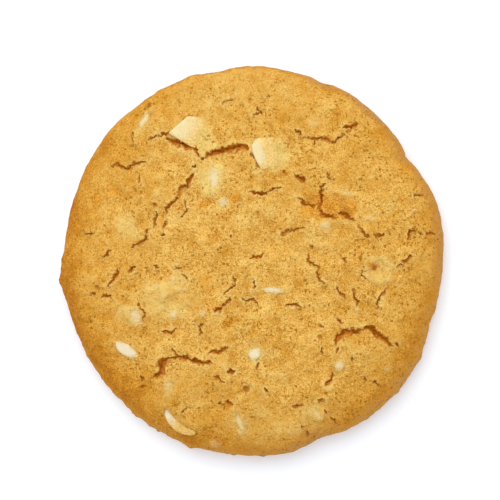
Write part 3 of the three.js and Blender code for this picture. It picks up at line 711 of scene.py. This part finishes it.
for sx, sy, length, width, turn, white in SPECKS:
    u, v = turned(x - sx + 0.35 * warp_x + 0.2 * fray_x, y - sy + 0.35 * warp_y + 0.2 * fray_y, turn)
    out = np.hypot(u / (length / 2), v / (width / 2))
    lift += SPECK_HEIGHT * np.clip(1 - out**2, 0, 1) * on_top
    speck_white = np.maximum(speck_white, white * (1 - smoothstep(out, 0.4, 1.3)) * (z > ABOVE_SIDE))
sunk = np.maximum(cut, pit) * (0.85 + 0.3 * grain)
amount = lift * off_foot + (LIP_HEIGHT * lips - sunk) * on_top
points += normals * amount[:, None]

# The crust drapes over each piece as a film, and opens where the piece is bare.
PIECE_REACH = 9
FILM_THICKNESS = 0.05
FILM_THICKENS_FROM = 0.7
BARE_FADE = (0.5, 1.2)
BARE_DROP = 0.12
HIDING_THICKNESS = 0.6
film_thinness = np.zeros(count)
shown_white = np.zeros(count)
halo = np.zeros(count)
for piece in INCLUSIONS:
    film = film_over(piece)
    near = (np.hypot(x - piece["at"][0], y - piece["at"][1]) < PIECE_REACH) & (z > ABOVE_SIDE)
    px, py = x[near] + 0.2 * warp_x[near], y[near] + 0.2 * warp_y[near]
    own_share = piece_share(piece, px, py)
    top = piece_top(piece, px, py)
    over = own_share < 1
    ragged = film["crumb"] * crumb[near] + film["grain"] * grain[near]
    open_here = 1 - smoothstep(own_share, film["closes"], 1)
    if "bare" in piece:
        open_here *= 1 - smoothstep(ellipse_share(piece, "bare", px, py), *BARE_FADE)
    own = points[near, 2]
    thickness = FILM_THICKNESS + film["thickens"] * smoothstep(own_share, FILM_THICKENS_FROM, 1)
    draped = np.where(over, np.maximum(own, top + thickness + ragged), own)
    opened = np.minimum(own, top - BARE_DROP + ragged)
    covered = draped + (opened - draped) * open_here * over
    points[near, 2] = covered
    thin = np.clip(1 - (covered - top) / HIDING_THICKNESS, 0, 1)
    thin *= 1 - smoothstep(own_share, film["hides"], 1.1)
    film_thinness[near] = np.maximum(film_thinness[near], thin)
    halo[near] = np.maximum(halo[near], 0.3 * (1 - smoothstep(own_share, 0.9, 1.7)))
    wx, wy = px + 0.5 * warp_x[near] + 0.2 * fray_x[near], py + 0.5 * warp_y[near] + 0.2 * fray_y[near]
    shown = whiteness(piece, wx, wy) * np.maximum(thin, film["comes_through"])
    shown *= 0.85 + 0.4 * crumb[near]
    shown_white[near] = np.maximum(shown_white[near], shown)
data.vertices.foreach_set("co", ((points - MIDDLE) * MM).ravel())

# What the crust's colour follows, kept on its vertices. The wall's colour stays off the flat top.
BROWNEST_AT = 206  # directions in degrees
HIDDEN_AT = 145
WALL_FROM = 0.925
WALL_FROM_HIDDEN = 0.06
FLAT_TOP_RADIUS = 30
FLAT_TOP_ABOVE = 8
side = smoothstep(share, 0.8, 0.97)
low = smoothstep(-z, -8, -2)
facing = (0.5 + 0.5 * np.cos(np.radians(bearing(x, y) - BROWNEST_AT))) ** 1.5
patches = noise_at(points, 9, 2, 6)
blot_x, blot_y = x + 1.3 * broad + 0.9 * warp_x, y - 1.3 * broad + 0.9 * warp_y
spots = area_strength(TORN_AREAS + TOASTED_AREAS, blot_x, blot_y) * on_top
# The side wall is painted darker and greyer than the top: painted shade on the side and a painted reflection
# of the white floor.
turned_away = 0.5 + 0.5 * np.cos(np.radians(bearing(x, y) - HIDDEN_AT))
wall_start = WALL_FROM + WALL_FROM_HIDDEN * turned_away + 0.012 * crumb + 0.01 * broad
wall = np.clip((share - wall_start) / (1 - wall_start), 0, 1)
wall[(np.hypot(x, y) < FLAT_TOP_RADIUS) & (z > FLAT_TOP_ABOVE)] = 0
toast = 0.05 * side + 0.3 * low
for direction, spread, strength in RIM_BROWNER:
    toast += side * strength * hump(turn_from(direction, bearing(x, y)), spread)
toast += 0.24 * smoothstep(share, 0.35, 0.9) * (0.4 + 0.6 * facing) + 0.16 * patches + 0.1 * broad
toast *= 1 - 0.7 * wall**2
pale = area_strength(PALE_AREAS, blot_x, blot_y) + 0.5 * film_thinness + halo
# Painted light: the lips along the cracks, the raised flakes, the raised lumps and the bowl's rim are
# painted paler as highlights, and the middle of the top a little paler.
pale += 0.4 * lips * (1 + crumb) + 0.16 * flakes + 0.02 * (1 - smoothstep(share, 0.2, 0.8))
pale += 0.35 * bowl_rim + 0.45 * lumpy * lumps
attributes = {
    "crack": np.clip(cut / 1.1 * (0.8 + 0.5 * crumb), 0, 1) * on_top,
    # Painted shade: high on the side of a crack turned from the light, low on its lit side.
    "shaded_side": np.clip(0.5 + (below - above) / 1.2, 0, 1),
    "pit": np.clip(pit * 2, 0, 1) * on_top,
    "spot": np.clip(spots, 0, 1),
    "wall": wall,
    "pale": np.clip(pale * on_top * (1 + 0.35 * crumb + 0.25 * broad), 0, 1),
    "white": np.clip(np.maximum(speck_white, shown_white), 0, 1),
    "toast": np.clip(toast, 0, 1),
}
for name, values in attributes.items():
    keep_on_vertices(data, name, values)
data.shade_smooth()
dough = add_object("dough_crust", data)


# ---------------------------------------------------------------- Dough: its finish
# Baked butter dough: dry, matt and sandy, golden on top, paler where chocolate or nut lies close
# under it and red-brown round the foot. The red-brown in the cracks is painted shade, darkest on the
# side turned from the light, with painted light on the lit slope. Pinholes show where fine bubbles
# burst; they and the pits are painted darker as painted shade. Crack lips, flakes, lumps and the
# bowl's rim are painted paler as painted highlights.
class Wire:
    """An output socket of a finish's nodes. Sums on wires add Math nodes."""

    def __init__(self, finish, socket):
        self.finish = finish
        self.socket = socket

    def output(self, name):
        """Another output of the same node."""
        return Wire(self.finish, self.socket.node.outputs[name])

    def math(self, operation, first, second, clamp=False):
        settings = {"operation": operation, "use_clamp": clamp}
        return self.finish.node("Math", settings, {0: first, 1: second})

    def __add__(self, other):
        return self.math("ADD", self, other)

    def __sub__(self, other):
        return self.math("SUBTRACT", self, other)

    def __rsub__(self, other):
        return self.math("SUBTRACT", other, self)

    def __mul__(self, other):
        return self.math("MULTIPLY", self, other)

    __radd__ = __add__
    __rmul__ = __mul__

    def clamped(self):
        return self.math("ADD", self, 0, clamp=True)


class Finish:
    """A material, its shader, and one method that adds any node to it."""

    def __init__(self, name):
        self.material = bpy.data.materials.new(name)
        self.material.use_nodes = True
        self.tree = self.material.node_tree
        self.shader = self.tree.nodes["Principled BSDF"]
        self.place = self.node("TexCoord", {}, {}, "Object")

    def node(self, kind, settings, sockets, output=0):
        made = self.tree.nodes.new("ShaderNode" + kind)
        for key, value in settings.items():
            setattr(made, key, value)
        for key, value in sockets.items():
            self.feed(made.inputs[key], value)
        return Wire(self, made.outputs[output])

    def feed(self, socket, value):
        if isinstance(value, Wire):
            self.tree.links.new(value.socket, socket)
        else:
            socket.default_value = value

    def set(self, **values):
        for name, value in values.items():
            self.feed(self.shader.inputs[name.replace("_", " ")], value)

    def noise(self, wavelength, detail=2.0, roughness=0.5):
        scale = 1 / (wavelength * MM)
        sockets = {"Vector": self.place, "Scale": scale, "Detail": detail, "Roughness": roughness}
        return self.node("TexNoise", {}, sockets)

    def attribute(self, name):
        return self.node("Attribute", {"attribute_name": name}, {}, "Fac")

    def mix(self, factor, first, second):
        sockets = {0: factor, 6: first, 7: second}
        return self.node("Mix", {"data_type": "RGBA"}, sockets, 2)

    def spread(self, value, low, high, start=0.0, end=1.0):
        """Stretches a value's range from low..high to start..end, clamped."""
        return self.node("MapRange", {"clamp": True}, {0: value, 1: low, 2: high, 3: start, 4: end})

    def bumps(self, height):
        """The normal of a surface with bumps of a height in millimetres."""
        return self.node("Bump", {}, {"Strength": 1.0, "Distance": MM, "Height": height}, "Normal")


LIGHT_ON_TOP = 1.09
LIGHT_DEPTH = 1.5 * MM  # how far light spreads under the surface
BUBBLE_SPACING = 1.0
BUBBLE_BEND = 0.8 * MM
TEAR_SPACING = 1.1
TEAR_STRETCHES = ((1.0, 2.4, 1.0), (2.2, 1.0, 1.0))


def paint(red, green, blue):
    """A colour as the eye reads it in the light on the cookie, 0 to 255, as a socket's linear value."""
    channels = [c / 255 for c in (red, green, blue)]
    linear = [((c + 0.055) / 1.055) ** 2.4 if c > 0.04045 else c / 12.92 for c in channels]
    return tuple(c / LIGHT_ON_TOP for c in linear) + (1.0,)


CRUST_LIGHT = paint(256, 207, 109)
CRUST_DARK = paint(214, 149, 48)
CRUST_GOLDEN = paint(220, 152, 46)
CRUST_TOASTED = paint(184, 106, 22)
CRUST_PALE = paint(250, 216, 126)
# The crack colours are painted shade and light: a deep brown shadow on the side turned from the light and in
# deep cracks, a lighter brown shade in shallow cracks, and orange on the lit lower slope and floor.
CRACK_SHADOW = paint(152, 82, 6)
CRACK_THIN = paint(182, 106, 18)
CRACK_LIT_FLOOR = paint(218, 134, 44)
CREAM = paint(243, 226, 180)
CREAM_FILMED = paint(252, 216, 134)
# Pinholes, tears and pits are painted darker brown: painted shade in holes and hollows.
PINHOLE = paint(178, 114, 22)
PIT = paint(190, 124, 42)
SPOT = paint(248, 172, 52)
SPOT_DEEP = paint(198, 120, 20)
# The wall colours are painted shade and a painted reflection of the white floor: darker and greyer than the
# crust, greyest at the foot.
WALL = paint(204, 147, 98)
WALL_DARK = paint(162, 99, 44)
WALL_FOOT = paint(184, 140, 96)

crust = Finish("baked_dough")
sand = crust.noise(0.42, 2.0, 0.65)
fine_sand = crust.noise(0.2, 1.0)
patch = crust.noise(4.5, 4.0, 0.6)
areas = crust.noise(7, 1.0)
blotch = crust.noise(2.2, 3.0, 0.6)
coarse = crust.spread(crust.noise(5, 2.0), 0.38, 0.62, 0.65, 1.3)
speckle = ((sand - 0.5) * 2.9 + (fine_sand - 0.5) * 3.5) * coarse
# The tone is partly random and partly painted light and shade: the blotches that raise the bumps below also
# lighten it, so raised parts are lighter and hollows darker.
tone = (0.5 + speckle + (patch - 0.5) * 1.8 + (blotch - 0.5) * 1.5).clamped()

swirl = crust.noise(0.5, 1.0).output("Color")
nudge = crust.node("VectorMath", {"operation": "SCALE"}, {0: swirl, "Scale": BUBBLE_BEND})
bent = crust.node("VectorMath", {"operation": "ADD"}, {0: crust.place, 1: nudge})
bubble_sockets = {"Vector": bent, "Scale": 1 / (BUBBLE_SPACING * MM), "Randomness": 1.0}
bubbles = crust.node("TexVoronoi", {"feature": "F1"}, bubble_sockets, "Distance")
bubble_size = crust.node("SeparateColor", {}, {"Color": bubbles.output("Color")})
width = crust.spread(areas, 0.35, 0.65, 0.14, 0.26) * crust.spread(bubble_size, 0.2, 1.0, 0.5, 1.0)
pinhole = crust.spread(bubbles - width, 0.0, 0.1, 1.0, 0.0) * crust.spread(bubble_size, 0.25, 0.3)
tears = crust.spread(areas, 0.35, 0.6, 0.35, 1.0)
torn = 0
for stretch in TEAR_STRETCHES:
    drawn = crust.node("VectorMath", {"operation": "MULTIPLY"}, {0: crust.place, 1: stretch})
    scale = 1 / (TEAR_SPACING * MM)
    streak_sockets = {"Vector": drawn, "Scale": scale, "Detail": 3.0, "Roughness": 0.6}
    torn = torn + crust.spread(crust.node("TexNoise", {}, streak_sockets), 0.6, 0.66) * tears

crumbs = crust.noise(1.3, 2.0, 0.6)
toast = crust.attribute("toast") * (1.3 - 0.6 * tone)
crack = crust.attribute("crack")
# Painted shade in the cracks: dark on the side turned from the light, and lit orange over part of the wide
# floors.
lit_floor_share = crust.spread(crack, 0.5, 0.9) * crust.spread(crust.noise(1.4, 1.0), 0.4, 0.58)
shaded_side = crust.attribute("shaded_side")
in_shade = crust.spread(shaded_side - lit_floor_share * 0.5, 0.1, 0.75)
spot = crust.spread(crust.attribute("spot") + (crumbs - 0.5) * 1.4 + (sand - 0.5) * 0.8, 0.2, 0.65)
colour = crust.mix(tone, CRUST_DARK, CRUST_LIGHT)
paleness = crust.attribute("pale")
# The crust is painted paler on raised crumbs, which also raise the bumps: painted light.
pale = paleness * (0.6 + 0.7 * tone + (crumbs - 0.5) * 1.5)
colour = crust.mix(pale.clamped(), colour, CRUST_PALE)
gilded = crust.spread(patch * 0.5 + crust.noise(3, 2.0) * 0.5, 0.52, 0.62) * 0.45
colour = crust.mix(gilded * (1 - 0.6 * paleness), colour, CRUST_GOLDEN)
# Painted shade and a painted floor reflection on the side wall, greyest at the foot.
wall = crust.attribute("wall")
wall_colour = crust.mix(crust.spread(tone, 0.2, 0.8), WALL_DARK, WALL)
wall_colour = crust.mix(crust.spread(wall, 0.55, 1.0), wall_colour, WALL_FOOT)
ragged_wall = wall + (sand - 0.5) * 0.5 + (crumbs - 0.5) * 0.9
on_wall = crust.spread(ragged_wall, 0.0, 0.5) * crust.spread(wall, 0.0, 0.12)
colour = crust.mix(on_wall * 0.85, colour, wall_colour)
colour = crust.mix((toast * 1.8).clamped(), colour, CRUST_GOLDEN)
colour = crust.mix((toast * 1.8 - 0.8).clamped(), colour, CRUST_TOASTED)
# Spots are painted a brighter orange on raised crumbs: painted highlight.
spot_tone = crust.spread(tone + (crumbs - 0.5) * 1.4, 0.2, 0.85)
colour = crust.mix(spot * 0.72, colour, crust.mix(spot_tone, SPOT_DEEP, SPOT))
# Pinholes and tears are painted as dark dots and ticks: painted shade of holes too small for the mesh.
holes = (pinhole + torn) * (0.92 - 0.5 * paleness)
colour = crust.mix(holes.clamped(), colour, PINHOLE)
# The pits' hollows are painted browner: painted shade.
colour = crust.mix(crust.spread(crust.attribute("pit"), 0.0, 0.6) * 0.75, colour, PIT)
white = (crust.attribute("white") * (0.75 + 0.5 * tone)).clamped()
colour = crust.mix(white, colour, crust.mix(crust.spread(white, 0.2, 0.7), CREAM_FILMED, CREAM))
# The cracks take the painted shade, darker the deeper the crack.
cracked = crust.spread(crack + (shaded_side - 0.5) * 0.2, 0.03, 0.42)
crack_shade = crust.mix(crust.spread(crack, 0.35, 0.75), CRACK_THIN, CRACK_SHADOW)
colour = crust.mix(cracked, colour, crust.mix(in_shade, CRACK_LIT_FLOOR, crack_shade))
scales = crust.spread(crust.noise(1.7, 3.0, 0.6), 0.45, 0.55)
# The blotches and crumbs here also lighten the colour above where they rise: painted light and shade.
relief = crumbs * 0.45 + blotch * 0.6 + scales * 0.06 + sand * 0.26 + fine_sand * 0.08
relief = relief - pinhole * 0.02 - torn * 0.02
crust.set(
    Base_Color=colour,
    Roughness=0.9,
    Specular_IOR_Level=0.06,
    Subsurface_Weight=0.12,
    Subsurface_Scale=LIGHT_DEPTH,
    Subsurface_Radius=(1.0, 0.5, 0.2),
    Normal=crust.bumps(relief),
)
data.materials.append(crust.material)
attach(dough, "root")
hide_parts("dough")

# ---------------------------------------------------------------- White chocolate, nuts: their meshes
# Chopped white chocolate, softened in the oven but still holding its corners, and chopped roasted
# macadamia. Both are ivory where bare and take the dough's gold where a film of it dried on them.
CHOCOLATE_BARE = paint(243, 222, 166)
CHOCOLATE_FILMED = paint(252, 212, 122)
NUT_BARE = paint(242, 224, 184)
NUT_FILMED = paint(238, 194, 102)
DARKER = (0.66, 0.56, 0.42, 1)
UNCHANGED = (1, 1, 1, 1)
MULTIPLIED = {"data_type": "RGBA", "blend_type": "MULTIPLY"}
CHUNK_SUBDIVISIONS = 6
CHIP_SUBDIVISIONS = 5
ROWS_POWER = 0.8  # brings the rows of the mesh closer to the edge
SURFACE_RELIEF = 0.07

finishes = {}
for slot, bare_colour, filmed_colour, gloss, grainy in (
    ("white_chocolate", CHOCOLATE_BARE, CHOCOLATE_FILMED, 0.5, 2.6),
    ("macadamia", NUT_BARE, NUT_FILMED, 0.55, 3.2),
):
    finish = Finish(slot + "_finish")
    mottle = finish.noise(1.2, 2.0)
    dust = finish.noise(0.42, 2.0, 0.65)
    dusting = finish.mix((0.7 + (dust - 0.5) * grainy).clamped(), DARKER, UNCHANGED)
    filmed = finish.node("Mix", MULTIPLIED, {0: 1.0, 6: dusting, 7: filmed_colour}, 2)
    white = (finish.attribute("white") * (1.0 + (mottle - 0.5) * 1.0 + (dust - 0.5) * 0.9)).clamped()
    finish.set(
        Base_Color=finish.mix(white, filmed, bare_colour),
        Roughness=gloss,
        Specular_IOR_Level=0.35,
        Subsurface_Weight=0.25,
        Subsurface_Scale=LIGHT_DEPTH,
        Subsurface_Radius=(1.0, 0.8, 0.5),
        Normal=finish.bumps(dust * 0.06 + mottle * 0.1),
    )
    finishes[slot] = finish

for piece in INCLUSIONS:
    lump = bmesh.new()
    subdivisions = CHUNK_SUBDIVISIONS if "corners" in piece else CHIP_SUBDIVISIONS
    bmesh.ops.create_icosphere(lump, subdivisions=subdivisions, radius=1)
    ball = np.array([v.co for v in lump.verts])
    flat = np.hypot(ball[:, 0], ball[:, 1])
    out = flat**ROWS_POWER
    u, v = (ball[:, :2] / np.maximum(flat, TINY)[:, None] * out[:, None]).T
    px, py = piece_plan(piece, u, v)
    top = piece_top(piece, px, py)
    shoulder = crust_height(*piece["at"]) + piece["proud"] - CROWN
    belly = shoulder - (piece["deep"] - CROWN) * (1 - out**CROWN_POWER) ** (1 / CROWN_POWER)
    skin = np.column_stack([px, py, np.where(ball[:, 2] > 0, top, np.minimum(belly, top))])
    rough = noise_at(skin, 1.6, 3, 7)
    skin += ball * (SURFACE_RELIEF * rough)[:, None]
    move_to(lump, skin - MIDDLE)
    piece_data = finished_mesh(lump, piece["name"] + "_bit")
    white = whiteness(piece, px + 0.3 * rough, py - 0.3 * rough)
    white *= 1 - smoothstep(out, film_over(piece)["edge"], 1.1)
    keep_on_vertices(piece_data, "white", white)
    piece_data.shade_smooth()
    slot = "white_chocolate" if piece["name"].startswith("white") else "macadamia"
    piece_data.materials.append(finishes[slot].material)
    bit = add_object(piece["name"] + "_bit", piece_data)
    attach(bit, "root")
    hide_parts(piece["name"])

# ---------------------------------------------------------------- Floor
# A plain white sweep that the cookie lies on, matt and seamless.
FLOOR_SIZE = 6.0
sheet = bmesh.new()
bmesh.ops.create_grid(sheet, x_segments=1, y_segments=1, size=FLOOR_SIZE / 2)
floor_data = finished_mesh(sheet, "floor")
floor = add_object("floor", floor_data)
paper = Finish("white_paper")
paper.set(Base_Color=(0.9, 0.93, 0.96, 1), Roughness=0.9, Specular_IOR_Level=0.1)
paper.set(Emission_Color=(0.97, 0.99, 1.0, 1), Emission_Strength=0.14)
floor_data.materials.append(paper.material)

# ---------------------------------------------------------------- Light
# One large softbox above the far side, a little to the left, and an even white room round it.
ROOM_LIGHT = 0.82
KEY_FROM = Vector((-0.12, 0.6, 0.97))
KEY_SIZE = 1.2
KEY_POWER = 6.8
ROOM_COLOUR = (0.96, 0.99, 1.05, 1)

room = bpy.data.worlds.new("room")
bpy.context.scene.world = room
room.use_nodes = True
background = room.node_tree.nodes["Background"]
background.inputs["Color"].default_value = ROOM_COLOUR
background.inputs["Strength"].default_value = ROOM_LIGHT
key_data = bpy.data.lights.new("key", "AREA")
key_data.shape = "DISK"
key_data.size = KEY_SIZE
key_data.energy = KEY_POWER
key = add_object("key", key_data)
key.location = KEY_FROM
key.rotation_euler = (-KEY_FROM).to_track_quat("-Z", "Y").to_euler()
bpy.context.scene.view_settings.view_transform = "Standard"

# ---------------------------------------------------------------- Camera
# It looks almost straight down, about 8 degrees off towards the lower right, where the side shows.
FOCAL_LENGTH = 120
SENSOR = 36
PIXELS = 500
DISTANCE = 346
CAMERA_AZIMUTH = math.radians(65)
CAMERA_ELEVATION = math.radians(82)
AIM = Vector((0.638, -0.293, 5.0)) - MIDDLE
FRAME_SHIFT = (3, 11.4)  # how far right of and below the frame's middle the aim lies, in pixels
PIXEL = DISTANCE * SENSOR / FOCAL_LENGTH / PIXELS

backwards = Vector(
    (
        math.sin(CAMERA_AZIMUTH) * math.cos(CAMERA_ELEVATION),
        -math.cos(CAMERA_AZIMUTH) * math.cos(CAMERA_ELEVATION),
        math.sin(CAMERA_ELEVATION),
    )
)
upwards = (Vector((0, 1, 0)) - backwards * backwards.y).normalized()
rightwards = upwards.cross(backwards)
aim = AIM - rightwards * FRAME_SHIFT[0] * PIXEL + upwards * FRAME_SHIFT[1] * PIXEL
camera_data = bpy.data.cameras.new("camera")
camera_data.lens = FOCAL_LENGTH
camera_data.sensor_width = SENSOR
camera_data.clip_start = 0.01
camera = add_object("camera", camera_data)
stance = Matrix((rightwards, upwards, backwards)).transposed().to_4x4()
camera.matrix_world = Matrix.Translation((aim + backwards * DISTANCE) * MM) @ stance
bpy.context.scene.camera = camera
